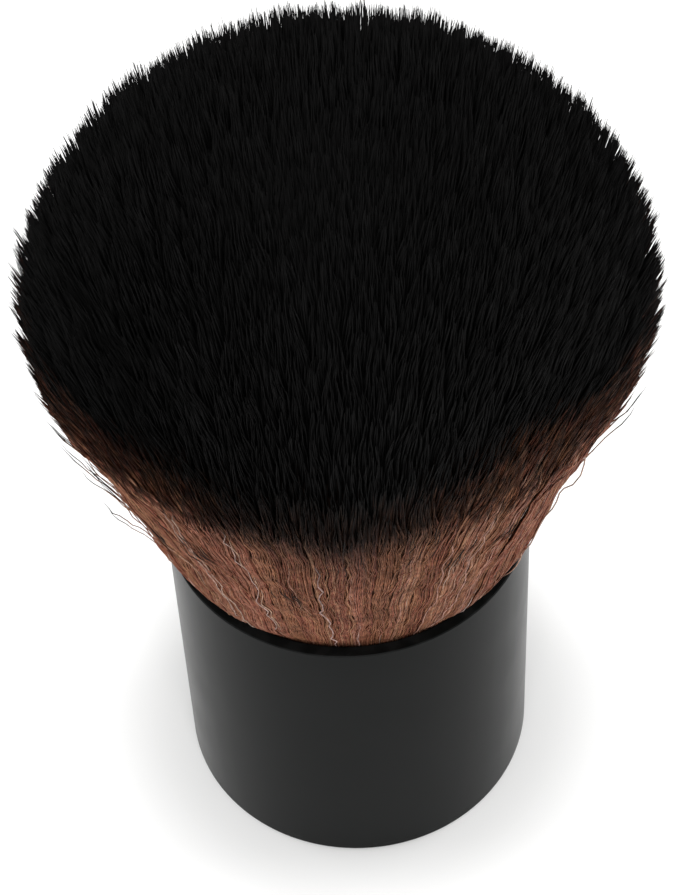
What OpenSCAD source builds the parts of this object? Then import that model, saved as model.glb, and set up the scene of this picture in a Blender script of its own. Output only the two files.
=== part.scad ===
// Short mushroom-head powder brush: a black metal handle with a dense flared head of hair.
// The handle comes apart from the foot up: base cap, foam pad, weight, liner, glue, knot ring, hair.
// Millimetres, +Z up, origin at the centre of the face that the brush stands on.

/* [Handle shell] */
// Outside diameter of the handle
handle_d = 30; // [28:0.5:36]
// Height of the handle from the table to the rim
handle_h = 30.6; // [28:0.2:36]
// Wall of the drawn shell
shell_wall = 0.8; // [0.6:0.05:1.1]
// How far the rim turns in past the wall
lip_reach = 0.2; // [0.1:0.05:0.4]
// Height of the turned-in rim
lip_h = 1.2; // [0.8:0.1:1.6]
// Radius on the outer edge of the rim
rim_edge_r = 0.12; // [0.04:0.02:0.4]

/* [Base cap] */
// Height of the flange that shows below the shell
flange_h = 0.8; // [0.6:0.1:1.2]
// Radius on the lower edge of the flange
foot_edge_r = 0.3; // [0.1:0.05:0.5]
// Thickness of the cap's floor
cap_floor = 1.4; // [1.2:0.1:2]
// Height of the spigot that goes up into the shell
spigot_h = 3.2; // [2.4:0.1:3.6]
// Wall of the spigot
spigot_wall = 1.3; // [1:0.1:1.6]
// Depth of each glue groove round the spigot
groove_depth = 0.2; // [0.1:0.05:0.3]
// Width of each glue groove
groove_w = 0.5; // [0.3:0.1:0.6]

/* [Weight and pad] */
// Thickness of the foam pad under the weight
pad_h = 1; // [0.6:0.1:1.4]
// Diameter of the steel weight
slug_d = 22.8; // [16:0.2:23]
// Height of the steel weight
slug_h = 7.6; // [5:0.2:8]
// Chamfer on both edges of the weight
slug_chamfer = 0.5; // [0.2:0.1:1]

/* [Liner] */
// Wall of the liner round the hair
liner_wall = 0.7; // [0.5:0.05:0.9]
// Height of the crush ribs on the outside of the liner
rib_h = 0.35; // [0.25:0.05:0.5]
// Width of one crush rib
rib_w = 0.8; // [0.6:0.1:1.2]
// Number of crush ribs
rib_count = 12; // [6:1:16]
// Thickness of the web between the weight and the hair
web_h = 2; // [1.4:0.2:2.4]
// Diameter of the glue hole through the web
glue_hole_d = 5; // [4:0.5:7]
// Distance from the liner's top to the underside of the rim
liner_setback = 3.6; // [3:0.1:4.4]
// Chamfer that leads the knot into the liner
lead_in = 0.4; // [0.2:0.05:0.5]

/* [Knot ring and glue] */
// Thickness of the set glue under the hair
glue_h = 1.6; // [1.2:0.1:2]
// Height of the metal ring round the tied hair
ring_h = 7; // [5:0.2:7.4]
// Wall of the knot ring
ring_wall = 0.4; // [0.3:0.05:0.6]
// How far the ring's lower edge turns in under the hair
ring_lip = 0.8; // [0.5:0.1:1.2]
// Depth of the crimp that bites into the hair
crimp_depth = 0.3; // [0.1:0.05:0.5]
// Height of the crimp
crimp_w = 1.6; // [1:0.2:2.4]

/* [Hair] */
// Widest diameter of the head
head_d = 47.4; // [40:0.2:52]
// Height from the rim to the widest part of the head
flare_h = 28.4; // [24:0.2:34]
// Height of the dome above the widest part
dome_h = 14.2; // [10:0.1:18]
// How far the flank bows out from a straight taper, as a share of its spread
flare_bow = 0.12; // [0:0.01:0.2]
// How much fuller the dome's shoulders are than an ellipse, as a share of its rise
dome_full = 0.08; // [0:0.01:0.15]
// Rings of strands round the middle one, each with 6 more strands than the ring inside it
strand_rings = 11; // [10:1:11]
// Least gap between two strands at the rim
strand_gap = 0.09; // [0.06:0.01:0.2]
// Height of a strand's pointed tip
tip_h = 2.4; // [1:0.2:4]
// Most by which a strand ends above or below the dome
tip_scatter = 0.6; // [0:0.1:1]
// Most by which a strand's point stands off its middle, as a share of its cell
tip_lean = 0.3; // [0:0.05:0.4]
// Depth of the packed hair's top below the rim
root_drop = 0.5; // [0.3:0.1:1]

/* [Fits] */
// Clearance of a glued or slid-in piece, on the radius
slip = 0.08; // [0.04:0.01:0.12]
// Clearance of the crush ribs, on the radius
rib_slip = 0.02; // [0.01:0.01:0.05]
// Headroom over the weight
headroom = 0.1; // [0.05:0.05:0.3]
// Gap between the hair and the rim
hair_gap = 0.1; // [0.06:0.02:0.3]

/* [Hidden] */

$fn = 96;
arc_steps = 6;

shell_r = handle_d / 2;
bore_r = shell_r - shell_wall;
mouth_r = bore_r - lip_reach;

spigot_r = bore_r - slip;
spigot_top = flange_h + spigot_h;
cup_r = spigot_r - spigot_wall;

pad_z = cap_floor;
slug_z = pad_z + pad_h;
slug_top = slug_z + slug_h;

rib_r = bore_r - rib_slip;
liner_r = bore_r - rib_h;
pocket_r = liner_r - liner_wall;
web_z = slug_top + headroom;
web_top = web_z + web_h;
liner_top = handle_h - lip_h - liner_setback;

ring_z = web_top + glue_h;
ring_top = ring_z + ring_h;
ring_r = pocket_r - slip;
ring_bore_r = ring_r - ring_wall;
crimp_z = ring_z + ring_h / 2;

knot_r = ring_bore_r - slip;
foot_r = knot_r - ring_lip;
hair_r = mouth_r - hair_gap;
root_top = handle_h - root_drop;
belly_r = head_d / 2;
belly_z = handle_h + flare_h;

// Points along an arc, from one angle to another
function arc(centre, r, from, to) = [
    for (i = [0 : arc_steps])
        let (a = from + (to - from) * i / arc_steps)
        centre + r * [cos(a), sin(a)]
];

// Drawn shell with a rim that turns in over the hair, open at the foot for the cap
module handle_shell() {
    rim_in_r = min(rim_edge_r, (shell_wall + lip_reach) / 2.5);
    color([0.13, 0.14, 0.14])
    rotate_extrude()
    polygon(concat(
        [[bore_r, flange_h], [shell_r, flange_h]],
        arc([shell_r - rim_in_r, handle_h - rim_in_r], rim_in_r, 0, 90),
        arc([mouth_r + rim_in_r, handle_h - rim_in_r], rim_in_r, 90, 180),
        [[mouth_r, handle_h - lip_h], [bore_r, handle_h - lip_h - lip_reach]]
    ));
}

// Turned cap that closes the foot, with a flange under the shell and a grooved spigot inside it
module base_cap() {
    groove_pitch = spigot_h / 3;
    color([0.11, 0.12, 0.12])
    difference() {
        rotate_extrude()
        polygon(concat(
            [[0, 0]],
            arc([shell_r - foot_edge_r, foot_edge_r], foot_edge_r, -90, 0),
            [[shell_r, flange_h], [spigot_r, flange_h], [spigot_r, spigot_top],
             [cup_r, spigot_top], [cup_r, cap_floor], [0, cap_floor]]
        ));
        for (i = [1 : 2])
            translate([0, 0, flange_h + groove_pitch * i - groove_w / 2])
            difference() {
                cylinder(r = spigot_r + 1, h = groove_w);
                cylinder(r = spigot_r - groove_depth, h = groove_w);
            }
    }
}

// Foam disc that keeps the weight from rattling
module slug_pad() {
    color([0.30, 0.30, 0.31])
    translate([0, 0, pad_z])
    cylinder(r = cup_r - slip, h = pad_h);
}

// Turned steel weight that keeps the brush standing
module weight_slug() {
    slug_r = slug_d / 2;
    color([0.62, 0.63, 0.65])
    translate([0, 0, slug_z])
    rotate_extrude()
    polygon([[0, 0], [slug_r - slug_chamfer, 0], [slug_r, slug_chamfer],
             [slug_r, slug_h - slug_chamfer], [slug_r - slug_chamfer, slug_h], [0, slug_h]]);
}

// Moulded liner: a pocket for the weight below the web and one for the knot above it
module core_liner() {
    weight_pocket_r = slug_d / 2 + slip;
    glue_hole_r = glue_hole_d / 2;
    rib_chamfer = rib_h;
    color([0.22, 0.22, 0.24]) {
        rotate_extrude()
        polygon([[weight_pocket_r, spigot_top], [liner_r, spigot_top], [liner_r, liner_top],
                 [pocket_r + lead_in, liner_top], [pocket_r, liner_top - lead_in],
                 [pocket_r, web_top], [glue_hole_r, web_top], [glue_hole_r, web_z],
                 [weight_pocket_r, web_z]]);
        for (i = [0 : rib_count - 1])
            rotate([0, 0, 360 * i / rib_count])
            intersection() {
                translate([liner_r - liner_wall / 2, -rib_w / 2, spigot_top])
                cube([shell_wall + rib_h + liner_wall, rib_w, liner_top - spigot_top]);
                rotate_extrude()
                polygon([[0, spigot_top], [rib_r - rib_chamfer, spigot_top],
                         [rib_r, spigot_top + rib_chamfer], [rib_r, liner_top - rib_chamfer],
                         [rib_r - rib_chamfer, liner_top], [0, liner_top]]);
            }
    }
}

// The crimp's outline at a radius, from its lower end up
function crimp(r) = [
    [r, crimp_z - crimp_w / 2],
    [r - crimp_depth, crimp_z],
    [r, crimp_z + crimp_w / 2]
];

// The same outline from its upper end down
function crimp_down(r) = [for (i = [2 : -1 : 0]) crimp(r)[i]];

// Thin metal ring crimped round the packed roots, turned in under them at its lower edge
module knot_ring() {
    color([0.72, 0.72, 0.70])
    rotate_extrude()
    polygon(concat(
        [[foot_r, ring_z], [ring_r, ring_z]],
        crimp(ring_r),
        [[ring_r, ring_top], [ring_bore_r, ring_top]],
        crimp_down(ring_bore_r),
        [[ring_bore_r, ring_z + ring_wall], [foot_r, ring_z + ring_wall]]
    ));
}

// Set glue that fills the space under the knot and keys into the web
module glue_plug() {
    stem_r = glue_hole_d / 2 - slip;
    color([0.80, 0.66, 0.38])
    rotate_extrude()
    polygon([[0, web_z], [stem_r, web_z], [stem_r, web_top], [pocket_r - slip, web_top],
             [pocket_r - slip, ring_z], [0, ring_z]]);
}

// Strands stand in rings, each in a cell of its own, and the cells fill the mouth
ring_pitch = hair_r / (strand_rings + 0.5);
ring_turn = 180 * (3 - sqrt(5));
strand_sides = 4;

// Corners of a strand's section at the rim, as [radius, angle from the strand's middle].
// They lie half the gap inside the cell, and the inner side's middle does too.
function corners(ring) =
    ring == 0
    ? [for (a = [45 : 90 : 315]) [ring_pitch / 2 - strand_gap, a]]
    : let (half = 30 / ring,
           inner = ((ring - 0.5) * ring_pitch + strand_gap / 2) / cos(half),
           outer = (ring + 0.5) * ring_pitch - strand_gap / 2,
           inner_half = half - asin(strand_gap / 2 / inner),
           outer_half = half - asin(strand_gap / 2 / outer))
      [[inner, -inner_half], [outer, -outer_half], [outer, outer_half], [inner, inner_half]];

// Radius of the flank at a height: it widens from the rim and bows out
function flank_r(z) =
    let (t = (z - handle_h) / flare_h)
    hair_r + (belly_r - hair_r) * t * (1 + flare_bow * (1 - t));

// Radius of an even dome at a height above the widest part
function dome_r(z) =
    z < belly_z ? belly_r : belly_r * sqrt(max(0, 1 - pow((z - belly_z) / dome_h, 2)));

// Height at which a strand that keeps this share of the flank's radius meets the even dome
function even_z(share, low, high, steps) =
    let (mid = (low + high) / 2)
    steps == 0 ? mid
    : share * flank_r(mid) < dome_r(mid) ? even_z(share, mid, high, steps - 1)
    : even_z(share, low, mid, steps - 1);

// Height of the fuller dome there
function dome_z(share) =
    let (rise = even_z(share, handle_h, belly_z + dome_h, 16) - belly_z,
         fuller = 4 * dome_full * pow(share, 2) * (1 - pow(share, 2)))
    belly_z + rise * (1 + fuller);

// Place at a height of what stands at this radius and angle at the rim. The same spread
// acts on every strand, so strands that are apart at the roots never meet.
function spread(radius, angle, z) =
    let (r = radius * flank_r(z) / hair_r)
    [r * cos(angle), r * sin(angle), z];

// One strand: a prism that widens up to a waist and to a slanted shoulder, and ends in a point
waist_z = handle_h + 0.45 * flare_h;
module strand(ring, middle, offset, lean) {
    section = corners(ring);
    tip_r = abs(ring + lean) * ring_pitch;
    points = concat(
        [for (c = section) spread(c[0], middle + c[1], root_top - root_drop)],
        [for (c = section) spread(c[0], middle + c[1], waist_z)],
        [for (c = section)
            spread(c[0], middle + c[1], max(belly_z, dome_z(c[0] / hair_r) - tip_h) + offset)],
        [spread(tip_r, middle, dome_z(tip_r / hair_r) + offset)]
    );
    walls = [
        for (level = [0, strand_sides])
            for (s = [0 : strand_sides - 1])
                let (a = level + s,
                     b = level + (s + 1) % strand_sides)
                each [[a, a + strand_sides, b], [b, a + strand_sides, b + strand_sides]]
    ];
    shoulder = 2 * strand_sides;
    top = shoulder + strand_sides;
    point = [
        for (s = [0 : strand_sides - 1])
            [shoulder + s, top, shoulder + (s + 1) % strand_sides]
    ];
    base = [[0, 1, 2], [0, 2, 3]];
    polyhedron(points = points, faces = concat(base, walls, point));
}

// All strands of one ring, whose lengths and points differ a little
module strand_ring(ring) {
    count = max(1, 6 * ring);
    offsets = rands(-tip_scatter, tip_scatter, count, ring + 1);
    leans = rands(-tip_lean, tip_lean, count, ring + 50);
    for (i = [0 : count - 1])
        strand(ring, ring * ring_turn + 360 * i / count, offsets[i], leans[i]);
}

echo("Number of strands", 1 + 3 * strand_rings * (strand_rings + 1));

// Hair: strands that stand on a slice of the packed roots
module bristle_head() {
    color([0.16, 0.10, 0.09]) {
        rotate_extrude()
        polygon(concat(
            [[0, ring_z], [foot_r - slip, ring_z], [foot_r - slip, ring_z + ring_wall + slip],
             [knot_r, ring_z + ring_wall + slip]],
            crimp(knot_r),
            [[knot_r, ring_top], [pocket_r - slip, liner_top], [hair_r, handle_h - lip_h],
             [hair_r, root_top], [0, root_top]]
        ));
        for (ring = [0 : strand_rings])
            strand_ring(ring);
    }
}

handle_shell();
base_cap();
slug_pad();
weight_slug();
core_liner();
knot_ring();
glue_plug();
bristle_head();
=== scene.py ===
import math
import bpy
import bmesh
from mathutils import Matrix, Vector


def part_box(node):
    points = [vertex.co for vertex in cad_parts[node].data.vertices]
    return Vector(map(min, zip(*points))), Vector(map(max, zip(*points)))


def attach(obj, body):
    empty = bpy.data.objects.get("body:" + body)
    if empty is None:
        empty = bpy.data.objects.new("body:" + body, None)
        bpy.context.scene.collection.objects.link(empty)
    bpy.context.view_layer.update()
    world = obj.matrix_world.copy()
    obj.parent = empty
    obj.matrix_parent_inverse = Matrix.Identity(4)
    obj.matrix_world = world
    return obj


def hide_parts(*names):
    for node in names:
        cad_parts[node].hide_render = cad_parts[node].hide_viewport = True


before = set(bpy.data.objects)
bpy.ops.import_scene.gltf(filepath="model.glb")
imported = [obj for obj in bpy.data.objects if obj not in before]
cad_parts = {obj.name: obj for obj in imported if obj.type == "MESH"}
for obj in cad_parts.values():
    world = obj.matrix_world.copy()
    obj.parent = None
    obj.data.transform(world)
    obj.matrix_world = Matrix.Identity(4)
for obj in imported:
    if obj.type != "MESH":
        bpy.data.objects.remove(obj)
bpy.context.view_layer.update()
BODY = "root"

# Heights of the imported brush, in metres
shell_low, shell_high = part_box("handle_shell")
FOOT_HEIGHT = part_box("base_cap")[0][2]
SEAM_HEIGHT = shell_low[2]
RIM_HEIGHT = shell_high[2]

# Sizes of the hair, in metres
MM = 0.001
MOUTH_RADIUS = 13.8 * MM
BELLY_RADIUS = 23.6 * MM
FLARE_HEIGHT = 28.4 * MM
DOME_HEIGHT = 14.2 * MM
ROOT_DEPTH = 1.2 * MM

# How much the flank bows out and the dome is filled up, as shares of their sizes
FLARE_BOW = 0.12
DOME_FULLNESS = 0.08

# The photograph's view, in pixels, degrees and metres, and the camera's sensor, in millimetres
IMAGE_HEIGHT = 895
FOCAL_PIXELS = 2750
SENSOR_SIZE = 36
NEAREST_SEEN = 0.01
VIEW_ELEVATION = 52.23
VIEW_ROLL = -3.344
VIEW_DISTANCE = 0.21993
VIEW_TARGET = Vector((-0.0004, 0, 0.03823))

# A Mix node's colour sockets, which come after its sockets for numbers and vectors
MIX_COLOUR_A = 6
MIX_COLOUR_B = 7
MIX_COLOUR_OUT = 2


def make_camera():
    """The photograph's camera, which looks down on the brush from the -Y side."""
    data = bpy.data.cameras.new("view")
    data.sensor_width = SENSOR_SIZE
    data.lens = FOCAL_PIXELS / IMAGE_HEIGHT * SENSOR_SIZE
    data.clip_start = NEAREST_SEEN
    camera = bpy.data.objects.new("view", data)
    bpy.context.scene.collection.objects.link(camera)
    elevation = math.radians(VIEW_ELEVATION)
    backward = Vector((0, -math.cos(elevation), math.sin(elevation)))
    turn = Matrix.Rotation(math.radians(90) - elevation, 3, "X")
    roll = Matrix.Rotation(math.radians(VIEW_ROLL), 3, "Z")
    camera.matrix_world = Matrix.Translation(VIEW_TARGET + backward * VIEW_DISTANCE) @ (turn @ roll).to_4x4()
    bpy.context.scene.camera = camera


class Formula:
    """Writes formulas as nodes in one node tree."""

    def __init__(self, tree):
        self.tree = tree

    def node(self, kind, **settings):
        node = self.tree.nodes.new(kind)
        for name, value in settings.items():
            setattr(node, name, value)
        return node

    def plug(self, value, socket):
        if isinstance(value, bpy.types.NodeSocket):
            self.tree.links.new(value, socket)
        else:
            socket.default_value = value

    def math(self, operation, *values):
        node = self.node("ShaderNodeMath", operation=operation)
        for value, socket in zip(values, node.inputs):
            self.plug(value, socket)
        return node.outputs[0]

    def add(self, a, b):
        return self.math("ADD", a, b)

    def sub(self, a, b):
        return self.math("SUBTRACT", a, b)

    def mul(self, a, b):
        return self.math("MULTIPLY", a, b)

    def div(self, a, b):
        return self.math("DIVIDE", a, b)

    def sqrt(self, a):
        return self.math("SQRT", self.math("MAXIMUM", a, 0.0))

    def mix(self, a, b, share):
        return self.add(a, self.mul(self.sub(b, a), share))

    def ramp(self, value, low, high):
        """0 below low, 1 above high, and a smooth step between them."""
        node = self.node("ShaderNodeMapRange", interpolation_type="SMOOTHSTEP", clamp=True)
        self.plug(value, node.inputs["Value"])
        self.plug(low, node.inputs["From Min"])
        self.plug(high, node.inputs["From Max"])
        return node.outputs[0]

    def vector(self, x, y, z):
        node = self.node("ShaderNodeCombineXYZ")
        for value, socket in zip((x, y, z), node.inputs):
            self.plug(value, socket)
        return node.outputs[0]

    def parts(self, vector):
        node = self.node("ShaderNodeSeparateXYZ")
        self.plug(vector, node.inputs[0])
        return node.outputs

    def vmath(self, operation, *values):
        node = self.node("ShaderNodeVectorMath", operation=operation)
        for value, socket in zip(values, node.inputs):
            self.plug(value, socket)
        return node.outputs["Vector"]

    def vadd(self, a, b):
        return self.vmath("ADD", a, b)

    def scaled(self, vector, factor):
        node = self.node("ShaderNodeVectorMath", operation="SCALE")
        self.plug(vector, node.inputs[0])
        self.plug(factor, node.inputs["Scale"])
        return node.outputs[0]

    def off_axis(self, place):
        """A place's distance from the brush's axis."""
        x, y = self.parts(place)[:2]
        return self.sqrt(self.add(self.mul(x, x), self.mul(y, y)))

    def colours(self, value, stops):
        """A colour ramp through stops of position and colour."""
        node = self.node("ShaderNodeValToRGB")
        self.plug(value, node.inputs[0])
        elements = node.color_ramp.elements
        while len(elements) > 1:
            elements.remove(elements[-1])
        elements[0].position = stops[0][0]
        elements[0].color = (*stops[0][1], 1)
        for position, colour in stops[1:]:
            elements.new(position).color = (*colour, 1)
        return node.outputs[0]

    def blend(self, a, b, share):
        """Colour a where share is 0 and colour b where it is 1."""
        node = self.node("ShaderNodeMix", data_type="RGBA")
        self.plug(share, node.inputs["Factor"])
        self.plug(a, node.inputs[MIX_COLOUR_A])
        self.plug(b, node.inputs[MIX_COLOUR_B])
        return node.outputs[MIX_COLOUR_OUT]

    def noise(self, place, scale, detail):
        node = self.node("ShaderNodeTexNoise")
        self.plug(place, node.inputs["Vector"])
        self.plug(scale, node.inputs["Scale"])
        self.plug(detail, node.inputs["Detail"])
        return node.outputs["Fac"]

    def object_place(self):
        return self.node("ShaderNodeTexCoord").outputs["Object"]


HAIR_INPUTS = {
    # How many hairs the whole layer has, and which of them this piece holds
    "Layer hairs": ("NodeSocketInt", 1000),
    "Hairs": ("NodeSocketInt", 1000),
    "First hair": ("NodeSocketInt", 0),
    "Hair step": ("NodeSocketInt", 1),
    "Points": ("NodeSocketInt", 8),
    "Root points": ("NodeSocketFloat", 0.0),
    "Seed": ("NodeSocketInt", 1),
    # The layer's place in the knot, as shares of the radius
    "Inner share": ("NodeSocketFloat", 0.0),
    "Outer share": ("NodeSocketFloat", 1.0),
    # The head's shape
    "Mouth radius": ("NodeSocketFloat", MOUTH_RADIUS),
    "Belly radius": ("NodeSocketFloat", BELLY_RADIUS),
    "Rim height": ("NodeSocketFloat", RIM_HEIGHT),
    "Flare height": ("NodeSocketFloat", FLARE_HEIGHT),
    "Dome height": ("NodeSocketFloat", DOME_HEIGHT),
    "Flare bow": ("NodeSocketFloat", FLARE_BOW),
    "Dome fullness": ("NodeSocketFloat", DOME_FULLNESS),
    "Lean": ("NodeSocketFloat", 0.2 * MM),
    "Root depth": ("NodeSocketFloat", ROOT_DEPTH),
    # At both sides the hair bulges over the rim: how far, and the heights above the rim where it does
    "Side bulge": ("NodeSocketFloat", 0.9 * MM),
    "Bulge full": ("NodeSocketFloat", 1.6 * MM),
    "Bulge fades": ("NodeSocketFloat", 2 * MM),
    "Bulge gone": ("NodeSocketFloat", 14 * MM),
    # One hair: what of it is made, its thickness, and where it ends
    "Shown length": ("NodeSocketFloat", 0.1),
    "Hair radius": ("NodeSocketFloat", 0.08 * MM),
    "Point length": ("NodeSocketFloat", 3.2 * MM),
    "Point past tip": ("NodeSocketFloat", 0.4 * MM),
    "Short by": ("NodeSocketFloat", 0.0),
    "Length scatter": ("NodeSocketFloat", 0.7 * MM),
    "Tuft scatter": ("NodeSocketFloat", 0.6 * MM),
    "Clump scatter": ("NodeSocketFloat", 0.7 * MM),
    "Splay": ("NodeSocketFloat", 0.0),
    "Splay length": ("NodeSocketFloat", 6 * MM),
    # The hair is held up to a little below the rim, and is loose or has formed locks a little above it
    "Held below": ("NodeSocketFloat", 0.3 * MM),
    "Loose above": ("NodeSocketFloat", 3.5 * MM),
    "Locked above": ("NodeSocketFloat", 9 * MM),
    # Hairs lean together, finely in tufts and loosely in clumps of tufts
    "Tufts across": ("NodeSocketFloat", 84.0),
    "Tuft pull": ("NodeSocketFloat", 0.5),
    "Tuft length": ("NodeSocketFloat", 3.5 * MM),
    "Clumps across": ("NodeSocketFloat", 38.0),
    "Clump pull": ("NodeSocketFloat", 0.3),
    "Lock pull": ("NodeSocketFloat", 0.0),
    "Relief": ("NodeSocketFloat", 0.0),
    "Relief length": ("NodeSocketFloat", 3.2 * MM),
    # Crimp, and slow bends that neighbours share or that a hair has alone
    "Crimp": ("NodeSocketFloat", 0.05 * MM),
    "Crimp length": ("NodeSocketFloat", 4.2 * MM),
    "Drift": ("NodeSocketFloat", 0.2 * MM),
    "Wander": ("NodeSocketFloat", 0.06 * MM),
    # Colour: the hair's tones, and the heights between which the dye sets in
    "Pale from": ("NodeSocketFloat", 0.0),
    "Pale to": ("NodeSocketFloat", 0.9),
    "Dye low": ("NodeSocketFloat", 38.5 * MM),
    "Dye high": ("NodeSocketFloat", 60.8 * MM),
    "Side low": ("NodeSocketFloat", 60 * MM),
    "Side high": ("NodeSocketFloat", 62.6 * MM),
    "Back drop": ("NodeSocketFloat", 6 * MM),
    "Dye scatter": ("NodeSocketFloat", 2.2 * MM),
    "Dyed tip": ("NodeSocketFloat", 0.01 * MM),
    "Map rows": ("NodeSocketFloat", 8.0),
}

# What is drawn by chance for each hair, in the order of the draws' seeds
DRAWS = ("angle", "length", "crimp start", "crimp size", "tone", "thickness", "dye", "warmth")
FIRST_DRAW = 11

# Each root is turned by the golden angle from the last, give or take this many radians divided by the
# square root of the number of hairs
GOLDEN_ANGLE = math.pi * (3 - math.sqrt(5))
ROOT_DISORDER = 1.2

# The range of a wave's start, in radians, which is nearly a full turn
WAVE_STARTS = 6.28

# The crimp's length in a clump, as its least share and what is added to it, how a hair's own crimp
# differs in its start, in radians, and its size, and how much of it goes in and out
CRIMP_LEAST = 0.8
CRIMP_ADDED = 0.4
CRIMP_OWN_START = 0.9
CRIMP_OWN_SIZES = (0.4, 1.6)
CRIMP_IN_OUT = 0.45

# The relief's wave along a clump, as a share of the relief
RELIEF_WAVE = 0.6

# The slow bends: their lengths, how far apart lone hairs read the noise, and their strength by direction
DRIFT_LENGTH = 4.5 * MM
WANDER_LENGTH = 3.0 * MM
WANDER_HAIR_STEP = 3.71 * MM
WANDER_SEED_STEP = 5.3 * MM
BEND_GAIN = 2.5
BEND_WAYS = (1.0, 1.0, 0.3)

# A hair's tube: its sides, its tip's thickness, and how thick hairs are, as shares of the hair's radius
HAIR_SIDES = 3
TIP_THICKNESS = 0.12
OWN_THICKNESS = (0.75, 1.25)

# How much of its tone and warmth a hair has by itself, and the rest is its clump's
OWN_TONE = 0.6
OWN_WARMTH = 0.55

# The dye's line: how much of the scatter a clump adds, and as shares of the knot's radius how far left
# the front's middle lies, how far from it the sides begin, and the depths between which the drop towards
# the back sets in. The last is the share of a dyed tip that is all black
CLUMP_DYE = 0.6
FRONT_MIDDLE = 0.07
SIDE_FROM_MIDDLE = 0.68
BACK_FROM = -0.85
BACK_TO = -0.25
BLACK_TIP = 0.4

# The margins beside a hair in its column of the map and at its ends in its row
MAP_SIDE_EDGE = 0.15
MAP_END_EDGE = 0.02


class HairTree(Formula):
    """The node tree of the brush's hair: hairs rise from an even bed in the handle's mouth, spread along
    the flank and end on the dome."""

    def __init__(self, name):
        super().__init__(bpy.data.node_groups.new(name, "GeometryNodeTree"))
        face = self.tree.interface
        face.new_socket("Geometry", in_out="OUTPUT", socket_type="NodeSocketGeometry")
        for label, (kind, default) in HAIR_INPUTS.items():
            face.new_socket(label, in_out="INPUT", socket_type=kind).default_value = default
        self.size = self.node("NodeGroupInput").outputs
        self.piece_number = self.node("GeometryNodeCurveOfPoint").outputs["Curve Index"]
        self.along = self.node("GeometryNodeSplineParameter").outputs["Factor"]
        self.number = self.add(self.mul(self.piece_number, self.size["Hair step"]), self.size["First hair"])
        self.growth = self.sub(self.size["Belly radius"], self.size["Mouth radius"])
        self.find_root()
        self.tuft_middle, self.tuft_shares = self.cell("Tufts across")
        self.clump_middle, self.clump_shares = self.cell("Clumps across")
        self.find_height()

    def random(self, draw, low, high):
        """What a hair draws by chance between low and high."""
        node = self.node("FunctionNodeRandomValue", data_type="FLOAT")
        numbers = [socket for socket in node.inputs if socket.type == "VALUE"]
        least, most = [socket for socket in numbers if socket.name in {"Min", "Max"}]
        self.plug(low, least)
        self.plug(high, most)
        self.plug(self.number, node.inputs["ID"])
        self.plug(self.add(self.size["Seed"], FIRST_DRAW + DRAWS.index(draw)), node.inputs["Seed"])
        return [socket for socket in node.outputs if socket.type == "VALUE"][0]

    def find_root(self):
        """The root's place in the knot: an even sunflower between two radii, with a little disorder."""
        size = self.size
        area = self.div(self.add(self.number, 0.5), size["Layer hairs"])
        inner = self.mul(size["Inner share"], size["Inner share"])
        outer = self.mul(size["Outer share"], size["Outer share"])
        self.share = self.sqrt(self.mix(inner, outer, area))
        disorder = self.div(ROOT_DISORDER, self.sqrt(size["Layer hairs"]))
        own_turn = self.mul(self.random("angle", -1.0, 1.0), disorder)
        angle = self.add(self.mul(self.number, GOLDEN_ANGLE), own_turn)
        self.cosine = self.math("COSINE", angle)
        self.sine = self.math("SINE", angle)
        self.root = self.vector(self.mul(self.share, self.cosine), self.mul(self.share, self.sine), 0.0)

    def cell(self, across):
        """The middle of the tuft or clump that a hair is in, and three shares drawn for it."""
        node = self.node("ShaderNodeTexVoronoi", feature="F1", voronoi_dimensions="3D")
        self.plug(self.root, node.inputs["Vector"])
        self.plug(self.mul(self.size[across], 0.5), node.inputs["Scale"])
        middle = self.vmath("MULTIPLY", node.outputs["Position"], (1.0, 1.0, 0.0))
        return middle, self.parts(node.outputs["Color"])

    def dome_height(self):
        """Where the hair meets the dome: the root of a quadratic in the height above the belly."""
        size = self.size
        slope = self.mul(self.div(self.growth, size["Flare height"]), self.sub(1.0, size["Flare bow"]))
        squared = self.mul(self.share, self.share)
        oval = self.div(size["Belly radius"], size["Dome height"])
        lead = self.add(self.mul(squared, self.mul(slope, slope)), self.mul(oval, oval))
        half = self.mul(squared, self.mul(size["Belly radius"], slope))
        rest = self.mul(self.mul(size["Belly radius"], size["Belly radius"]), self.sub(1.0, squared))
        found = self.sqrt(self.add(self.mul(half, half), self.mul(lead, rest)))
        rise = self.div(self.sub(found, half), lead)
        # A share times what is left of it is 1/4 at most, so four times that is 1 halfway out
        full = self.mul(self.mul(squared, self.sub(1.0, squared)), self.mul(size["Dome fullness"], 4.0))
        rise = self.mul(rise, self.add(full, 1.0))
        return self.add(self.add(size["Rim height"], size["Flare height"]), rise)

    def find_height(self):
        """A point's height on its hair, how far below the tip that is, and how loose the hair is there."""
        size = self.size
        uneven = self.mul(self.random("length", -0.5, 0.5), size["Length scatter"])
        uneven = self.add(uneven, self.mul(self.sub(self.tuft_shares[0], 0.5), size["Tuft scatter"]))
        uneven = self.add(uneven, self.mul(self.sub(self.clump_shares[0], 0.5), size["Clump scatter"]))
        tip = self.sub(self.sub(self.dome_height(), size["Short by"]), uneven)
        lowest = self.sub(size["Rim height"], size["Root depth"])
        start = self.math("MAXIMUM", lowest, self.sub(tip, size["Shown length"]))
        # With more root points, the points stand closer at the root, where the crimp shows
        closer = self.mul(size["Root points"], self.sub(1.0, self.mul(self.along, self.along)))
        self.height = self.mix(start, tip, self.mul(self.along, self.sub(1.0, closer)))
        self.to_tip = self.sub(tip, self.height)
        self.above_rim = self.sub(self.height, size["Rim height"])
        self.climbed = self.math("MAXIMUM", self.div(self.above_rim, size["Flare height"]), 0.0)
        held = self.sub(size["Rim height"], size["Held below"])
        self.loose = self.ramp(self.height, held, self.add(size["Rim height"], size["Loose above"]))

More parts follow.
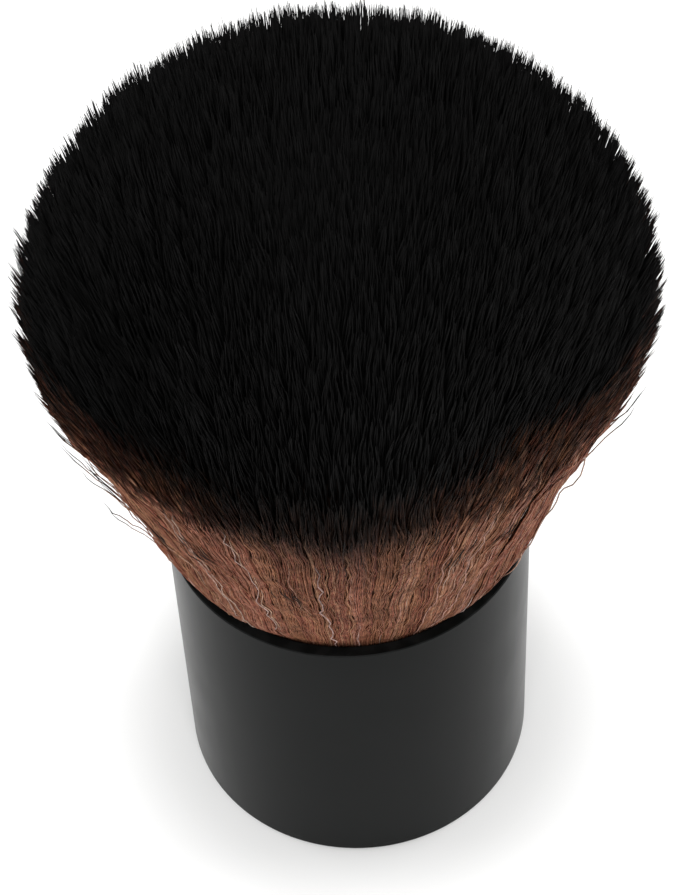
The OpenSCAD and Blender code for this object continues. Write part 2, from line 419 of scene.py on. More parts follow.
    def straight_hairs(self):
        """One straight hair for each point of a line, made real, so that each keeps its own number."""
        seeds = self.node("GeometryNodeMeshLine", mode="OFFSET")
        self.plug(self.size["Hairs"], seeds.inputs["Count"])
        stick = self.node("GeometryNodeCurvePrimitiveLine")
        even = self.node("GeometryNodeResampleCurve", mode="COUNT")
        self.plug(stick.outputs[0], even.inputs["Curve"])
        self.plug(self.size["Points"], even.inputs["Count"])
        place = self.node("GeometryNodeInstanceOnPoints")
        self.plug(seeds.outputs["Mesh"], place.inputs["Points"])
        self.plug(even.outputs[0], place.inputs["Instance"])
        real = self.node("GeometryNodeRealizeInstances")
        self.plug(place.outputs[0], real.inputs[0])
        return real.outputs[0]

    def flank_radius(self):
        """The flank's radius: it bows out up to the belly and goes on straight above it."""
        size = self.size
        below = self.math("MINIMUM", self.climbed, 1.0)
        bow = self.mul(size["Flare bow"], self.mul(below, self.sub(1.0, below)))
        above = self.mul(self.sub(self.climbed, below), self.sub(1.0, size["Flare bow"]))
        return self.add(size["Mouth radius"], self.mul(self.growth, self.add(self.add(below, bow), above)))

    def flare(self):
        """The radius that the knot's edge has spread to, with clumps' relief, the splay and the bulge."""
        size = self.size
        # Some clumps stand out from the flank and some lie back, by turns along their length
        start = self.mul(self.clump_shares[1], WAVE_STARTS)
        wave = self.math("SINE", self.add(self.div(self.height, size["Relief length"]), start))
        way = self.sub(self.mul(self.clump_shares[2], 2.0), 1.0)
        swell = self.mul(self.add(way, self.mul(wave, RELIEF_WAVE)), size["Relief"])
        outward = self.mul(size["Splay"], self.sub(1.0, self.ramp(self.to_tip, 0.0, size["Splay length"])))
        begun = self.ramp(self.above_rim, self.mul(size["Held below"], -1.0), size["Bulge full"])
        bulged = self.sub(begun, self.ramp(self.above_rim, size["Bulge fades"], size["Bulge gone"]))
        beside = self.math("ABSOLUTE", self.parts(self.root)[0])
        bulge = self.mul(self.mul(beside, bulged), size["Side bulge"])
        flare = self.add(self.flank_radius(), self.mul(self.add(swell, outward), self.loose))
        return self.add(flare, bulge)

    def lean_together(self):
        """The root's place, drawn towards the middle of its tuft and then of its clump."""
        size = self.size
        locked_height = self.add(size["Rim height"], size["Locked above"])
        locked = self.ramp(self.height, size["Rim height"], locked_height)
        near_tip = self.sub(1.0, self.ramp(self.to_tip, 0.0, size["Tuft length"]))
        lock = self.mul(size["Lock pull"], locked)
        tuft_lean = self.math("MAXIMUM", self.mul(size["Tuft pull"], near_tip), lock)
        clump_lean = self.math("MAXIMUM", self.mul(size["Clump pull"], near_tip), lock)
        to_tuft = self.vmath("SUBTRACT", self.tuft_middle, self.root)
        lean = self.vadd(self.root, self.scaled(to_tuft, tuft_lean))
        to_clump = self.vmath("SUBTRACT", self.clump_middle, lean)
        return self.vadd(lean, self.scaled(to_clump, clump_lean))

    def crimp(self):
        """A wave that a clump's hairs share, mostly sideways."""
        size = self.size
        wave_length = self.add(CRIMP_LEAST, self.mul(self.clump_shares[0], CRIMP_ADDED))
        wave_length = self.mul(size["Crimp length"], wave_length)
        turn = self.mul(self.div(self.height, wave_length), 2 * math.pi)
        turn = self.add(turn, self.mul(self.clump_shares[2], WAVE_STARTS))
        turn = self.add(turn, self.random("crimp start", -CRIMP_OWN_START, CRIMP_OWN_START))
        swing = self.mul(self.mul(size["Crimp"], self.random("crimp size", *CRIMP_OWN_SIZES)), self.loose)
        sideways = self.mul(self.math("SINE", turn), swing)
        in_out = self.mul(self.mul(self.math("COSINE", turn), CRIMP_IN_OUT), swing)
        return self.vector(self.sub(self.mul(in_out, self.cosine), self.mul(sideways, self.sine)),
                           self.add(self.mul(in_out, self.sine), self.mul(sideways, self.cosine)), 0.0)

    def slow_bend(self, place, length, amount):
        """A slow bend, which places that lie closer together than its length share."""
        noise = self.node("ShaderNodeTexNoise", noise_dimensions="3D")
        self.plug(place, noise.inputs["Vector"])
        self.plug(1 / length, noise.inputs["Scale"])
        self.plug(1.0, noise.inputs["Detail"])
        centred = self.vmath("SUBTRACT", noise.outputs["Color"], (0.5, 0.5, 0.5))
        centred = self.vmath("MULTIPLY", centred, BEND_WAYS)
        return self.scaled(centred, self.mul(self.mul(amount, BEND_GAIN), self.loose))

    def bent(self, straight):
        """The straight hairs, bent to their shape."""
        size = self.size
        x, y = self.parts(self.scaled(self.lean_together(), self.flare()))[:2]
        x = self.add(x, self.mul(self.mul(self.climbed, self.climbed), size["Lean"]))
        upright = self.vector(x, y, self.height)
        together = self.slow_bend(upright, DRIFT_LENGTH, size["Drift"])
        lone_place = self.vector(self.mul(self.number, WANDER_HAIR_STEP),
                                 self.mul(size["Seed"], WANDER_SEED_STEP), self.height)
        alone = self.slow_bend(lone_place, WANDER_LENGTH, size["Wander"])
        shape = self.node("GeometryNodeSetPosition")
        self.plug(straight, shape.inputs["Geometry"])
        place = self.vadd(self.vadd(upright, self.crimp()), self.vadd(together, alone))
        self.plug(place, shape.inputs["Position"])
        return shape.outputs[0]

    def keep(self, geometry, label, value, domain="POINT", kind="FLOAT"):
        """Stores a value on the geometry under this name."""
        node = self.node("GeometryNodeStoreNamedAttribute", data_type=kind, domain=domain)
        self.plug(geometry, node.inputs["Geometry"])
        self.plug(label, node.inputs["Name"])
        self.plug(value, node.inputs["Value"])
        return node.outputs[0]

    def kept(self, label):
        """A value that keep stored."""
        node = self.node("GeometryNodeInputNamedAttribute", data_type="FLOAT")
        self.plug(label, node.inputs["Name"])
        return node.outputs["Attribute"]

    def dye_taken(self):
        """How much of the black dye a point has taken. The dye reaches lowest in the middle of the front,
        and its edge is sharper at the sides."""
        size = self.size
        shifted = self.add(self.height, self.mul(self.random("dye", -0.5, 0.5), size["Dye scatter"]))
        clump_scatter = self.mul(size["Dye scatter"], CLUMP_DYE)
        shifted = self.add(shifted, self.mul(self.sub(self.clump_shares[1], 0.5), clump_scatter))
        root = self.parts(self.root)
        off_middle = self.math("ABSOLUTE", self.add(root[0], FRONT_MIDDLE))
        beside = self.ramp(off_middle, 0.0, SIDE_FROM_MIDDLE)
        shifted = self.add(shifted, self.mul(self.ramp(root[1], BACK_FROM, BACK_TO), size["Back drop"]))
        low = self.mix(size["Dye low"], size["Side low"], beside)
        high = self.mix(size["Dye high"], size["Side high"], beside)
        black_tip = self.mul(size["Dyed tip"], BLACK_TIP)
        dyed_tip = self.sub(1.0, self.ramp(self.to_tip, black_tip, size["Dyed tip"]))
        return self.math("MAXIMUM", self.ramp(shifted, low, high), dyed_tip)

    def shared(self, draw, clump_share, own):
        """A share that a hair has partly by itself and otherwise from its clump."""
        return self.add(self.mul(self.random(draw, 0.0, 1.0), own), self.mul(clump_share, 1 - own))

    def coloured(self, hairs):
        """The hairs with what their finish and their map read."""
        tone = self.shared("tone", self.clump_shares[1], OWN_TONE)
        hairs = self.keep(hairs, "dye", self.dye_taken())
        hairs = self.keep(hairs, "tone", self.mix(self.size["Pale from"], self.size["Pale to"], tone))
        hairs = self.keep(hairs, "warmth", self.shared("warmth", self.clump_shares[2], OWN_WARMTH))
        hairs = self.keep(hairs, "along", self.along)
        return self.keep(hairs, "hair", self.piece_number)

    def tubes(self, hairs):
        """Thin three-sided tubes, which end in a fine point."""
        size = self.size
        ring = self.node("GeometryNodeCurvePrimitiveCircle", mode="RADIUS")
        self.plug(HAIR_SIDES, ring.inputs["Resolution"])
        self.plug(1.0, ring.inputs["Radius"])
        side = self.div(self.node("GeometryNodeInputIndex").outputs[0], HAIR_SIDES)
        point = self.ramp(self.to_tip, self.mul(size["Point past tip"], -1.0), size["Point length"])
        thickness = self.mul(size["Hair radius"], self.mix(TIP_THICKNESS, 1.0, point))
        thickness = self.mul(thickness, self.random("thickness", *OWN_THICKNESS))
        radius = self.node("GeometryNodeSetCurveRadius")
        self.plug(hairs, radius.inputs["Curve"])
        self.plug(thickness, radius.inputs["Radius"])
        tube = self.node("GeometryNodeCurveToMesh")
        self.plug(radius.outputs[0], tube.inputs["Curve"])
        self.plug(self.keep(ring.outputs[0], "side", side), tube.inputs["Profile Curve"])
        self.plug(True, tube.inputs["Fill Caps"])
        # Newer versions take the thickness from this input, older ones from the curve
        if "Scale" in tube.inputs:
            self.plug(self.node("GeometryNodeInputRadius").outputs[0], tube.inputs["Scale"])
        return tube.outputs[0]

    def mapped(self, tubes):
        """The tubes with a map in which each hair has its own narrow column, in a few rows."""
        rows = self.size["Map rows"]
        columns = self.math("CEIL", self.div(self.size["Hairs"], rows))
        which = self.math("FLOOR", self.add(self.kept("hair"), 0.5))
        row = self.math("FLOOR", self.div(which, columns))
        column = self.sub(which, self.mul(row, columns))
        across = self.add(MAP_SIDE_EDGE, self.kept("side"))
        up = self.add(MAP_END_EDGE, self.mul(self.kept("along"), 1 - 2 * MAP_END_EDGE))
        u = self.div(self.add(column, across), columns)
        v = self.div(self.add(row, up), rows)
        return self.keep(tubes, "OFBake", self.vector(u, v, 0.0), "CORNER", "FLOAT2")

    def finished(self, material):
        """The whole tree, from the straight hairs to the finished mesh."""
        hairs = self.coloured(self.bent(self.straight_hairs()))
        whole = self.node("GeometryNodeRealizeInstances")
        self.plug(self.mapped(self.tubes(hairs)), whole.inputs[0])
        finish = self.node("GeometryNodeSetMaterial")
        self.plug(whole.outputs[0], finish.inputs["Geometry"])
        self.plug(material, finish.inputs["Material"])
        self.plug(finish.outputs[0], self.node("NodeGroupOutput").inputs[0])
        return self.tree


def plain_mesh(name, tree, values):
    """Runs a node tree with these inputs, and returns its result as a plain mesh object."""
    holder = bpy.data.objects.new(name + "_maker", bpy.data.meshes.new(name + "_maker"))
    bpy.context.scene.collection.objects.link(holder)
    modifier = holder.modifiers.new("hair", "NODES")
    modifier.node_group = tree
    for item in tree.interface.items_tree:
        if item.in_out == "INPUT" and item.name in values:
            modifier[item.identifier] = values[item.name]
    graph = bpy.context.evaluated_depsgraph_get()
    made = holder.evaluated_get(graph)
    mesh = bpy.data.meshes.new_from_object(made, preserve_all_data_layers=True, depsgraph=graph)
    bpy.data.objects.remove(holder)
    piece = bpy.data.objects.new(name, mesh)
    mesh.name = name
    bpy.context.scene.collection.objects.link(piece)
    return piece


# The layers of hair: how many pieces each is made in, how many hairs a piece holds, and what differs
LAYERS = {
    "flank_hair": {
        "pieces": 5,
        "hairs": 1120,
        "values": {"Points": 27, "Root points": 0.45, "Inner share": 0.982, "Outer share": 1.0, "Seed": 3,
                   "Hair radius": 0.06 * MM, "Lock pull": 0.11, "Relief": 0.09 * MM, "Splay": 0.38 * MM,
                   "Length scatter": 3.0 * MM, "Short by": 1.0 * MM,
                   "Crimp": 0.07 * MM, "Drift": 0.28 * MM, "Wander": 0.10 * MM},
    },
    "under_hair": {
        "pieces": 2,
        "hairs": 1500,
        "values": {"Points": 17, "Root points": 0.35, "Inner share": 0.93, "Outer share": 0.985, "Seed": 21,
                   "Hair radius": 0.095 * MM, "Lock pull": 0.12, "Relief": 0.12 * MM, "Splay": 0.3 * MM,
                   "Crimp": 0.07 * MM, "Drift": 0.28 * MM, "Wander": 0.12 * MM},
    },
    "dome_hair": {
        "pieces": 4,
        "hairs": 5000,
        "values": {"Points": 6, "Inner share": 0.0, "Outer share": 0.98, "Seed": 5,
                   "Shown length": 9 * MM, "Hair radius": 0.08 * MM},
    },
    "pale_hair": {
        "pieces": 1,
        "hairs": 64,
        "values": {"Points": 32, "Root points": 0.4, "Inner share": 0.998, "Outer share": 1.008, "Seed": 8,
                   "Hair radius": 0.048 * MM, "Clumps across": 14.0, "Lock pull": 0.5,
                   "Relief": 0.15 * MM, "Crimp": 0.13 * MM, "Crimp length": 4.6 * MM, "Drift": 0.45 * MM,
                   "Wander": 0.15 * MM, "Pale from": 0.80, "Pale to": 1.0, "Short by": 3 * MM,
                   "Length scatter": 6 * MM},
    },
    "stray_hair": {
        "pieces": 1,
        "hairs": 170,
        "values": {"Points": 28, "Root points": 0.2, "Inner share": 0.985, "Outer share": 1.005, "Seed": 12,
                   "Hair radius": 0.045 * MM, "Clumps across": 9.0, "Clump pull": 0.5,
                   "Tuft length": 16 * MM, "Tuft pull": 0.2, "Short by": 6 * MM, "Clump scatter": 9 * MM,
                   "Length scatter": 5 * MM, "Splay": 0.6 * MM, "Splay length": 12 * MM,
                   "Crimp": 0.07 * MM, "Crimp length": 3.6 * MM, "Drift": 0.30 * MM,
                   "Wander": 0.12 * MM, "Pale from": 0.3, "Pale to": 1.0, "Dyed tip": 7 * MM},
    },
}

# The hair's colours, from its darkest hairs to its few pale ones
TAWNY_TONES = ((0.0, (0.200, 0.078, 0.044)), (0.30, (0.29, 0.124, 0.068)), (0.62, (0.38, 0.182, 0.100)),
               (0.82, (0.47, 0.26, 0.16)), (0.92, (0.55, 0.38, 0.30)), (1.0, (0.62, 0.49, 0.45)))
RUSSET_TONES = ((0.0, (0.170, 0.050, 0.034)), (0.30, (0.25, 0.082, 0.053)), (0.62, (0.33, 0.125, 0.080)),
                (0.82, (0.42, 0.195, 0.135)), (0.92, (0.51, 0.33, 0.29)), (1.0, (0.62, 0.48, 0.46)))
BLACK_DYE = (0.0135, 0.0132, 0.0132, 1)

# Warmth below the first of these is tawny, and above the second russet
WARMTH_EDGES = (0.25, 0.75)

# Shade on the brown hair: the size of its patches and speckles, and how much of the colour they leave
PATCH_SIZE = 3.5 * MM
PATCH_EDGES = (0.42, 0.68)
PATCH_SHADE = 0.78
SPECKLE_SIZE = 0.55 * MM
SPECKLE_EDGES = (0.30, 0.70)
SPECKLE_SHADES = (0.56, 1.05)

# The rim's shade on the roots: the share that it leaves, and where it begins and ends
ROOT_SHADE = 0.62
ROOT_SHADE_FROM = RIM_HEIGHT - 1.5 * MM
ROOT_SHADE_TO = RIM_HEIGHT + 4 * MM

# The hair's roughness, undyed and dyed, and its faint gloss
HAIR_ROUGHNESS = (0.5, 0.8)
HAIR_GLOSS = 0.03


def hair_material():
    """Fine hair, brown from the root and dyed black towards the tip."""
    material, f, shader = new_material("hair")

    def attribute(label):
        node = f.node("ShaderNodeAttribute", attribute_type="GEOMETRY", attribute_name=label)
        return node.outputs["Fac"]

    tawny = f.colours(attribute("tone"), TAWNY_TONES)
    russet = f.colours(attribute("tone"), RUSSET_TONES)
    brown = f.blend(tawny, russet, f.ramp(attribute("warmth"), *WARMTH_EDGES))
    patch = f.noise(f.object_place(), 1 / PATCH_SIZE, 2.0)
    brown = f.blend(brown, f.scaled(brown, PATCH_SHADE), f.ramp(patch, *PATCH_EDGES))
    speckle = f.noise(f.object_place(), 1 / SPECKLE_SIZE, 2.0)
    brown = f.scaled(brown, f.mix(*SPECKLE_SHADES, f.ramp(speckle, *SPECKLE_EDGES)))
    height = f.parts(f.object_place())[2]
    brown = f.scaled(brown, f.mix(ROOT_SHADE, 1.0, f.ramp(height, ROOT_SHADE_FROM, ROOT_SHADE_TO)))
    f.plug(f.blend(brown, BLACK_DYE, attribute("dye")), shader.inputs["Base Color"])
    f.plug(f.mix(*HAIR_ROUGHNESS, attribute("dye")), shader.inputs["Roughness"])
    shader.inputs["Specular IOR Level"].default_value = HAIR_GLOSS
    return material


def make_hair():
    """Every layer of hair, which together stand for the brush's head."""
    tree = HairTree("brush hair").finished(hair_material())
    pieces = []
    for layer, plan in LAYERS.items():
        for k in range(plan["pieces"]):
            values = dict(plan["values"])
            values["Hairs"] = plan["hairs"]
            values["Layer hairs"] = plan["hairs"] * plan["pieces"]
            values["First hair"] = k
            values["Hair step"] = plan["pieces"]
            pieces.append(plain_mesh("%s_%d" % (layer, k + 1), tree, values))
    return pieces


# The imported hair's colours, darkest and palest, and the heights between which it turns black
PACKED_BROWNS = ((0.14, 0.060, 0.038, 1), (0.27, 0.125, 0.080, 1))
PACKED_BLACKS = ((0.009, 0.0087, 0.0087, 1), (0.015, 0.0145, 0.0145, 1))
PACKED_DYE = (50 * MM, 62 * MM)

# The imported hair's streaks: their width, how they stretch upwards, and their roughness, bump and gloss
STREAK_WIDTH = 0.35 * MM
STREAK_STRETCH = (1.0, 1.0, 0.06)
PACKED_ROUGHNESS = (0.75, 0.9)
STREAK_BUMP = 0.5
STREAK_DEPTH = 0.1 * MM
PACKED_GLOSS = 0.1


def packed_material():
    """Packed hair in shadow: upright streaks, brown below and black above."""
    material, f, shader = new_material("packed hair")
    place = f.object_place()
    streaks = f.noise(f.vmath("MULTIPLY", place, STREAK_STRETCH), 1 / STREAK_WIDTH, 2.0)
    brown = f.blend(*PACKED_BROWNS, streaks)
    black = f.blend(*PACKED_BLACKS, streaks)
    f.plug(f.blend(brown, black, f.ramp(f.parts(place)[2], *PACKED_DYE)), shader.inputs["Base Color"])
    f.plug(f.mix(*PACKED_ROUGHNESS, streaks), shader.inputs["Roughness"])
    shader.inputs["Specular IOR Level"].default_value = PACKED_GLOSS
    add_bump(f, shader, streaks, STREAK_BUMP, STREAK_DEPTH)
    return material


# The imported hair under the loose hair: its share of the flank's radius, and where it stops short of the
# belly and of the dome
CORE_RINGS = 40
CORE_SIDES = 96
CORE_INSET = 0.955
CORE_BELLY_DROP = 4.5 * MM
CORE_TOP_GAP = 2.6 * MM


def core_profile():
    """Radius and height from the core's foot up its flank and over its dome."""
    foot = RIM_HEIGHT - ROOT_DEPTH
    profile = [(0.0, foot)]
    for ring in range(CORE_RINGS + 1):
        height = foot + (FLARE_HEIGHT + ROOT_DEPTH - CORE_BELLY_DROP) * ring / CORE_RINGS
        climbed = max((height - RIM_HEIGHT) / FLARE_HEIGHT, 0)
        radius = MOUTH_RADIUS + (BELLY_RADIUS - MOUTH_RADIUS) * climbed * (1 + FLARE_BOW * (1 - climbed))
        profile.append((radius * CORE_INSET, height))
    top_radius, top_height = profile[-1]
    cap_height = DOME_HEIGHT + CORE_BELLY_DROP - CORE_TOP_GAP
    for ring in range(1, CORE_RINGS):
        angle = math.pi / 2 * ring / CORE_RINGS
        profile.append((top_radius * math.cos(angle), top_height + cap_height * math.sin(angle)))
    profile.append((0.0, top_height + cap_height))
    return profile


def turned_mesh(name, profile, sides):
    """A closed mesh turned from a profile that begins and ends on the axis."""
    mesh = bmesh.new()
    rings = []
    for radius, height in profile:
        count = 1 if radius == 0 else sides
        turns = [2 * math.pi * side / sides for side in range(count)]
        rings.append([mesh.verts.new((radius * math.cos(a), radius * math.sin(a), height)) for a in turns])
    for low, high in zip(rings, rings[1:]):
        for side in range(sides):
            after = (side + 1) % sides
            if len(low) == 1:
                mesh.faces.new((low[0], high[after], high[side]))
            elif len(high) == 1:
                mesh.faces.new((low[side], low[after], high[0]))
            else:
                mesh.faces.new((low[side], low[after], high[after], high[side]))
    data = bpy.data.meshes.new(name)
    mesh.to_mesh(data)
    mesh.free()
    for polygon in data.polygons:
        polygon.use_smooth = True
    return data


def make_core():
    """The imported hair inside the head, which the loose hairs stand on."""
    data = turned_mesh("hair_core", core_profile(), CORE_SIDES)
    core = bpy.data.objects.new("hair_core", data)
    bpy.context.scene.collection.objects.link(core)
    data.materials.append(packed_material())
    return core


# The shared grain: where its soft patches begin and end, and how far each changes the roughness
SOFT_EDGES = (0.35, 0.65)
GRAIN_CHANGE = 0.9
SOFT_CHANGE = 0.6


def grain_group():
    """A surface's fine grain, soft patches and fine lines, as colour, roughness and height."""
    tree = bpy.data.node_groups.new("grain", "ShaderNodeTree")
    face = tree.interface
    plan = (("Place", "NodeSocketVector", (0, 0, 0)), ("Line place", "NodeSocketVector", (0, 0, 0)),
            ("Colour", "NodeSocketColor", (0.5, 0.5, 0.5, 1)),
            ("Other colour", "NodeSocketColor", (0.5, 0.5, 0.5, 1)),
            ("Roughness", "NodeSocketFloat", 0.5), ("Roughness change", "NodeSocketFloat", 0.1),
            ("Grain scale", "NodeSocketFloat", 1000.0), ("Patch scale", "NodeSocketFloat", 100.0),
            ("Line scale", "NodeSocketFloat", 1000.0), ("Line share", "NodeSocketFloat", 0.0))
    for label, kind, default in plan:
        face.new_socket(label, in_out="INPUT", socket_type=kind).default_value = default
    face.new_socket("Colour", in_out="OUTPUT", socket_type="NodeSocketColor")
    face.new_socket("Roughness", in_out="OUTPUT", socket_type="NodeSocketFloat")
    face.new_socket("Height", in_out="OUTPUT", socket_type="NodeSocketFloat")
    f = Formula(tree)
    size = f.node("NodeGroupInput").outputs
    grain = f.noise(size["Place"], size["Grain scale"], 3.0)
    patch = f.noise(size["Place"], size["Patch scale"], 2.0)
    lines = f.noise(size["Line place"], size["Line scale"], 1.0)
    height = f.mix(grain, lines, size["Line share"])
    soft = f.ramp(patch, *SOFT_EDGES)
    change = f.add(f.mul(height, GRAIN_CHANGE), f.mul(soft, SOFT_CHANGE))
    change = f.sub(change, (GRAIN_CHANGE + SOFT_CHANGE) / 2)
    rougher = f.add(1.0, f.mul(change, size["Roughness change"]))
    out = f.node("NodeGroupOutput")
    f.plug(f.blend(size["Colour"], size["Other colour"], f.mix(soft, height, 0.5)), out.inputs["Colour"])
    f.plug(f.mul(size["Roughness"], rougher), out.inputs["Roughness"])
    f.plug(height, out.inputs["Height"])
    return tree


def new_material(name):
    """A new material, its formula writer and its shader."""
    material = bpy.data.materials.new(name)
    material.use_nodes = True
    return material, Formula(material.node_tree), material.node_tree.nodes["Principled BSDF"]


def add_bump(f, shader, height, strength, distance):
    """Roughens the shader's surface by a height between 0 and 1."""
    bump = f.node("ShaderNodeBump")
    bump.inputs["Strength"].default_value = strength
    bump.inputs["Distance"].default_value = distance
    f.plug(height, bump.inputs["Height"])
    f.plug(bump.outputs["Normal"], shader.inputs["Normal"])


def round_place(f, place):
    """Coordinates that change across a turned piece's lines: its radius and its height."""
    return f.vector(f.off_axis(place), 0.0, f.parts(place)[2])


# How little a drawn tube's lines change along it
DRAWN_STRETCH = (1.0, 1.0, 0.02)


def drawn_place(f, place):
    """Coordinates that change round a drawn tube and hardly along it."""
    return f.vmath("MULTIPLY", place, DRAWN_STRETCH)


GRAIN_DEPTH = 0.02 * MM


def grainy(name, group, metallic, line_place, bump, values):
    """A material whose colour, roughness and bump come from the shared grain."""
    material, f, shader = new_material(name)
    place = f.object_place()
    grain = f.node("ShaderNodeGroup", node_tree=group)
    f.plug(place, grain.inputs["Place"])
    f.plug(line_place(f, place) if line_place else place, grain.inputs["Line place"])
    for label, value in values.items():
        grain.inputs[label].default_value = value
    f.plug(grain.outputs["Colour"], shader.inputs["Base Color"])
    f.plug(grain.outputs["Roughness"], shader.inputs["Roughness"])
    shader.inputs["Metallic"].default_value = metallic
    if bump:
        add_bump(f, shader, grain.outputs["Height"], bump, GRAIN_DEPTH)
    return material, f, shader, grain


# The black finish's gloss, and its wear along the edges: colour, roughness, width and broken lengths
BLACK_GLOSS = 0.06
WORN_COLOUR = (0.008, 0.0086, 0.0086, 1)
WORN_ROUGHNESS = 0.30
WORN_WIDTHS = (0.02 * MM, 0.22 * MM)
WORN_LENGTH = 1.6 * MM
WORN_EDGES = (0.35, 0.7)


def anodised_material(name, group, worn_heights):
    """Satin black anodised aluminium, a little worn along its edges."""
    material, f, shader, grain = grainy(name, group, 0.0, round_place, 0.12, {
        "Colour": (0.0030, 0.0036, 0.0035, 1), "Other colour": (0.0044, 0.0051, 0.0050, 1),
        "Roughness": 0.24, "Roughness change": 0.25, "Grain scale": 1 / (0.12 * MM),
        "Patch scale": 1 / (6 * MM), "Line scale": 1 / (0.10 * MM), "Line share": 0.3})
    shader.inputs["Specular IOR Level"].default_value = BLACK_GLOSS
    height = f.parts(f.object_place())[2]
    worn = 0.0
    for edge in worn_heights:
        off = f.math("ABSOLUTE", f.sub(height, edge))
        worn = f.math("MAXIMUM", worn, f.sub(1.0, f.ramp(off, *WORN_WIDTHS)))
    worn = f.mul(worn, f.ramp(f.noise(f.object_place(), 1 / WORN_LENGTH, 3.0), *WORN_EDGES))
    f.plug(f.blend(grain.outputs["Colour"], WORN_COLOUR, worn), shader.inputs["Base Color"])
    f.plug(f.mix(grain.outputs["Roughness"], WORN_ROUGHNESS, worn), shader.inputs["Roughness"])
    return material


# The foam's cells: their size, and their bump
CELL_SIZE = 0.35 * MM
CELL_BUMP = 0.8
CELL_DEPTH = 0.15 * MM


def foam_material(group):
    """Dark closed-cell foam: round cells with thin walls."""
    material, f, shader = grainy("foam", group, 0.0, None, 0.0, {
        "Colour": (0.085, 0.085, 0.092, 1), "Other colour": (0.13, 0.13, 0.14, 1), "Roughness": 0.92,
        "Roughness change": 0.08, "Grain scale": 1 / (0.2 * MM), "Patch scale": 1 / (3 * MM)})[:3]
    cells = f.node("ShaderNodeTexVoronoi", feature="SMOOTH_F1")
    f.plug(f.object_place(), cells.inputs["Vector"])
    cells.inputs["Scale"].default_value = 1 / CELL_SIZE
    add_bump(f, shader, cells.outputs["Distance"], CELL_BUMP, CELL_DEPTH)
    return material


def steel_material(group):
    """Turned steel, with the tool's fine rings."""
    return grainy("steel", group, 1.0, round_place, 0.35, {
        "Colour": (0.42, 0.43, 0.45, 1), "Other colour": (0.54, 0.55, 0.57, 1), "Roughness": 0.34,
        "Roughness change": 0.4, "Grain scale": 1 / (0.1 * MM), "Patch scale": 1 / (4 * MM),
        "Line scale": 1 / (0.08 * MM), "Line share": 0.85})[0]


def liner_material(group):
    """Dark moulded plastic with the mould's fine texture."""
    return grainy("liner plastic", group, 0.0, None, 0.3, {
        "Colour": (0.050, 0.050, 0.055, 1), "Other colour": (0.064, 0.064, 0.069, 1), "Roughness": 0.48,
        "Roughness change": 0.3, "Grain scale": 1 / (0.15 * MM), "Patch scale": 1 / (5 * MM)})[0]


def ring_material(group):
    """Bare drawn aluminium, with lines along the way it was drawn."""
    return grainy("bare aluminium", group, 1.0, drawn_place, 0.3, {
        "Colour": (0.66, 0.66, 0.65, 1), "Other colour": (0.76, 0.76, 0.74, 1), "Roughness": 0.3,
        "Roughness change": 0.4, "Grain scale": 1 / (0.1 * MM), "Patch scale": 1 / (4 * MM),
        "Line scale": 1 / (0.07 * MM), "Line share": 0.8})[0]


GLUE_SKIN = 0.4


def glue_material(group):
    """Amber glue that set hard, with a glossy skin and cloudy patches."""
    material, f, shader = grainy("set glue", group, 0.0, None, 0.15, {
        "Colour": (0.46, 0.28, 0.08, 1), "Other colour": (0.62, 0.45, 0.19, 1), "Roughness": 0.22,
        "Roughness change": 0.3, "Grain scale": 1 / (0.4 * MM), "Patch scale": 1 / (2.5 * MM)})[:3]
    f.plug(GLUE_SKIN, shader.inputs["Coat Weight"])
    return material


def finish_nodes():
    """Gives each solid that shows, or could show, its own finish."""
    group = grain_group()
    finishes = {
        "handle_shell": anodised_material("black shell", group, (SEAM_HEIGHT, RIM_HEIGHT)),
        "base_cap": anodised_material("black cap", group, (FOOT_HEIGHT, SEAM_HEIGHT)),
        "slug_pad": foam_material(group),
        "weight_slug": steel_material(group),
        "core_liner": liner_material(group),
        "knot_ring": ring_material(group),
        "glue_plug": glue_material(group),
    }
    for name, material in finishes.items():
        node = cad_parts[name]
        node.data.materials.clear()
        node.data.materials.append(material)


# The white table: half its side in metres, its finish, and the glow that the camera sees near the brush
# and away from it, with the distances from the axis between which it grows. The weaker glow near the
# brush is a painted shadow round the foot
TABLE_HALF = 1.2
TABLE_COLOUR = (0.92, 0.92, 0.915, 1)
TABLE_ROUGHNESS = 0.55
TABLE_GLOSS = 0.2
GLOW_IN_PAINTED_SHADOW = 0.04
GLOW_PAST_PAINTED_SHADOW = 0.24
PAINTED_SHADOW_FADES = (16.5 * MM, 25 * MM)


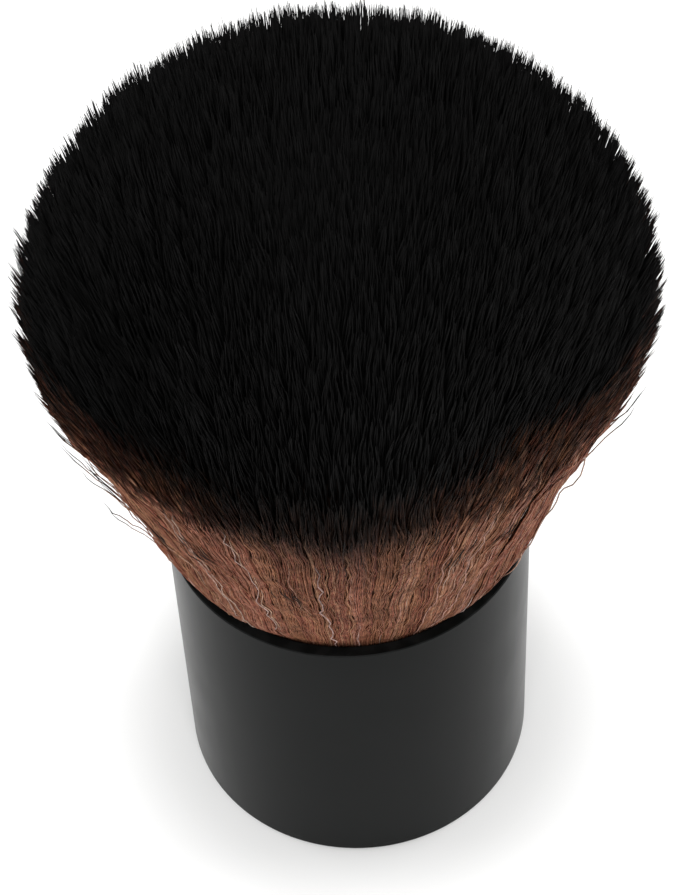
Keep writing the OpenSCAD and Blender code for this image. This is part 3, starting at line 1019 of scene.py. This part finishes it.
def make_floor():
    """The white table under the brush."""
    data = bpy.data.meshes.new("table")
    corners = [(-TABLE_HALF, -TABLE_HALF, 0), (TABLE_HALF, -TABLE_HALF, 0),
               (TABLE_HALF, TABLE_HALF, 0), (-TABLE_HALF, TABLE_HALF, 0)]
    data.from_pydata(corners, [], [(0, 1, 2, 3)])
    floor = bpy.data.objects.new("table", data)
    bpy.context.scene.collection.objects.link(floor)
    material, f, shader = new_material("white table")
    shader.inputs["Base Color"].default_value = TABLE_COLOUR
    shader.inputs["Roughness"].default_value = TABLE_ROUGHNESS
    shader.inputs["Specular IOR Level"].default_value = TABLE_GLOSS
    shader.inputs["Emission Color"].default_value = (1, 1, 1, 1)
    # The table is seen whiter away from the brush, so that only the shadow round the foot shows; the weaker
    # glow near the foot paints shadow there on top of the shadow that the lamps cast
    camera_ray = f.node("ShaderNodeLightPath").outputs["Is Camera Ray"]
    away = f.ramp(f.off_axis(f.object_place()), *PAINTED_SHADOW_FADES)
    f.plug(f.mul(camera_ray, f.mix(GLOW_IN_PAINTED_SHADOW, GLOW_PAST_PAINTED_SHADOW, away)), shader.inputs["Emission Strength"])
    data.materials.append(material)


def seen_directly(f):
    """1 where the camera sees a thing itself or in a reflection, and 0 where it only lights others."""
    ray = f.node("ShaderNodeLightPath").outputs
    seen = f.math("MAXIMUM", ray["Is Camera Ray"], ray["Is Glossy Ray"])
    return f.math("MAXIMUM", seen, ray["Is Transmission Ray"])


# Each lamp's name, place, power and size
LAMPS = (("lamp_left", Vector((-0.58, 0.18, 0.50)), 1.3, 0.5),
         ("lamp_right", Vector((0.58, 0.18, 0.50)), 1.4, 0.5),
         ("lamp_front", Vector((0.02, -0.65, 0.48)), 2.3, 0.5))
WORLD_LIGHT = 0.80


def make_light():
    """Plain soft light: a pale world and large lamps over the brush."""
    scene = bpy.context.scene
    world = bpy.data.worlds.new("studio")
    scene.world = world
    world.use_nodes = True
    background = world.node_tree.nodes["Background"]
    background.inputs["Color"].default_value = (1, 1, 1, 1)
    f = Formula(world.node_tree)
    f.plug(f.mix(WORLD_LIGHT, 1.0, seen_directly(f)), background.inputs["Strength"])
    for name, place, power, size in LAMPS:
        lamp = bpy.data.lights.new(name, "AREA")
        lamp.energy = power
        lamp.size = size
        lamp_object = bpy.data.objects.new(name, lamp)
        lamp_object.location = place
        lamp_object.rotation_euler = (VIEW_TARGET - place).to_track_quat("-Z", "Y").to_euler()
        scene.collection.objects.link(lamp_object)
    scene.view_settings.view_transform = "Standard"


make_camera()
make_floor()
make_light()
finish_nodes()
core = make_core()
hair = make_hair()
for piece in [core] + hair:
    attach(piece, BODY)
    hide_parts("bristle_head")
